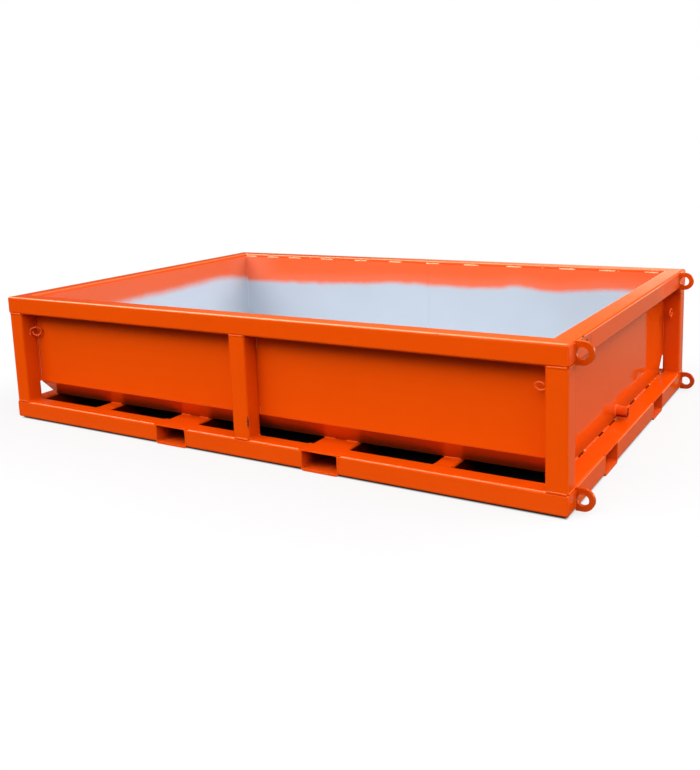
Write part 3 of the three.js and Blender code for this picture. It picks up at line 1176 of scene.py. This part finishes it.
def smoothing_group():
    """Merges doubled points and shades smooth, except over edges sharper than the angle."""
    group = bpy.data.node_groups.new("smooth_by_angle", "GeometryNodeTree")
    for way in ("INPUT", "OUTPUT"):
        group.interface.new_socket("Geometry", in_out=way, socket_type="NodeSocketGeometry")
    start = add_node(group, "GroupInput", family="Node")
    inputs = {"Geometry": start.outputs[0], "Distance": merge_distance}
    merged = add_node(group, "MergeByDistance", inputs, "GeometryNode")
    inputs = {"Geometry": merged.outputs[0]}
    smooth = add_node(group, "SetShadeSmooth", inputs, "GeometryNode", domain="FACE")
    angle = add_node(group, "InputMeshEdgeAngle", family="GeometryNode")
    inputs = {0: angle.outputs["Unsigned Angle"], 1: smooth_angle}
    sharp = add_node(group, "Compare", inputs, "FunctionNode", operation="GREATER_THAN")
    inputs = {"Geometry": smooth.outputs[0], "Selection": sharp.outputs[0], "Shade Smooth": False}
    edges = add_node(group, "SetShadeSmooth", inputs, "GeometryNode", domain="EDGE")
    add_node(group, "GroupOutput", {0: edges.outputs[0]}, "Node")
    return group


def soften(piece, width):
    """Eases the edges, and keeps the faces beside them flat."""
    bevel = piece.modifiers.new("eased_edges", "BEVEL")
    bevel.limit_method = "ANGLE"
    bevel.angle_limit = smooth_angle
    bevel.width = width
    bevel.segments = edge_segments
    weighted = piece.modifiers.new("flat_faces", "WEIGHTED_NORMAL")
    weighted.weight = flat_face_weight
    weighted.keep_sharp = True


def round_off(piece):
    """A bent bar: its facets are subdivided into a round bar with rounded ends."""
    subdivided = piece.modifiers.new("round", "SUBSURF")
    subdivided.levels = round_bar_levels
    subdivided.render_levels = round_bar_levels


def by_start(name, table, otherwise):
    """The table's value for the key that the name starts with."""
    return next((table[key] for key in table if name.startswith(key)), otherwise)


def dress_nodes():
    finishes = {
        "tub": "tub", "fork": "pocket", "end_pocket": "pocket",
        "lug": "lug", "tarp": "hook", "drain": "drain",
    }
    smoothing = smoothing_group()
    for name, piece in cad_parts.items():
        piece.data.materials.clear()
        piece.data.materials.append(materials[by_start(name, finishes, "enamel")])
        piece.modifiers.new("smooth", "NODES").node_group = smoothing
        if name.startswith("tarp_hook"):
            round_off(piece)
        else:
            soften(piece, by_start(name, edge_widths, frame_edge_width))


def make_beads(name, plan, finish="weld"):
    beads = Beads()
    plan(beads)
    add_piece(name, beads.vertices, beads.faces, materials[finish])


def build_welds():
    make_beads("weld_beads_posts", weld_posts)
    make_beads("weld_beads_pockets", weld_pockets)
    make_beads("weld_beads_cross_members", weld_cross_members)
    make_beads("weld_beads_lugs", weld_lugs)
    make_beads("weld_beads_hooks", weld_hooks)
    make_beads("weld_beads_drain", weld_drain)
    make_beads("weld_stitches_back_rim", weld_back_rim, "pale_weld_and_highlight")
    make_beads("weld_stitches_rims", weld_painted_rims)
    make_beads("weld_stitches_end_walls", weld_end_walls)
    make_beads("weld_starts_end_wall", weld_starts, "pale_weld_and_highlight")
    make_beads("weld_stitches_floor", weld_floor_stitches)
    make_beads("weld_seals_tub_posts", weld_tub_to_posts)
    make_beads("weld_stitches_mid_posts", weld_mid_posts)
    weld_mitres()
    make_beads("weld_seams_tub_ends", weld_tub_ends, "tub")
    make_beads("weld_seam_tub_middle", weld_tub_middle, "tub")


build_camera()
build_world()
build_floor()
materials = {
    "enamel": make_material("orange_enamel", enamel),
    "lug": make_material("lug_enamel", enamel, share=lug_light_share),
    # The hooks' lighter orange is painted light
    "hook": make_material("hook_enamel_painted_light", enamel, lighter=hook_orange_painted_light),
    "drain": make_material("drain_enamel", drain_enamel),
    "pocket": make_material("pocket_enamel", pocket_enamel),
    "tub": make_material("tub_sheet_finish", tub_finish),
    "weld": make_material("painted_weld", painted_weld),
    "pale_weld_and_highlight": make_material("dusted_weld_and_highlight", dusted_weld_and_highlight),
}
dress_nodes()
build_welds()
scene.view_settings.view_transform = "Standard"
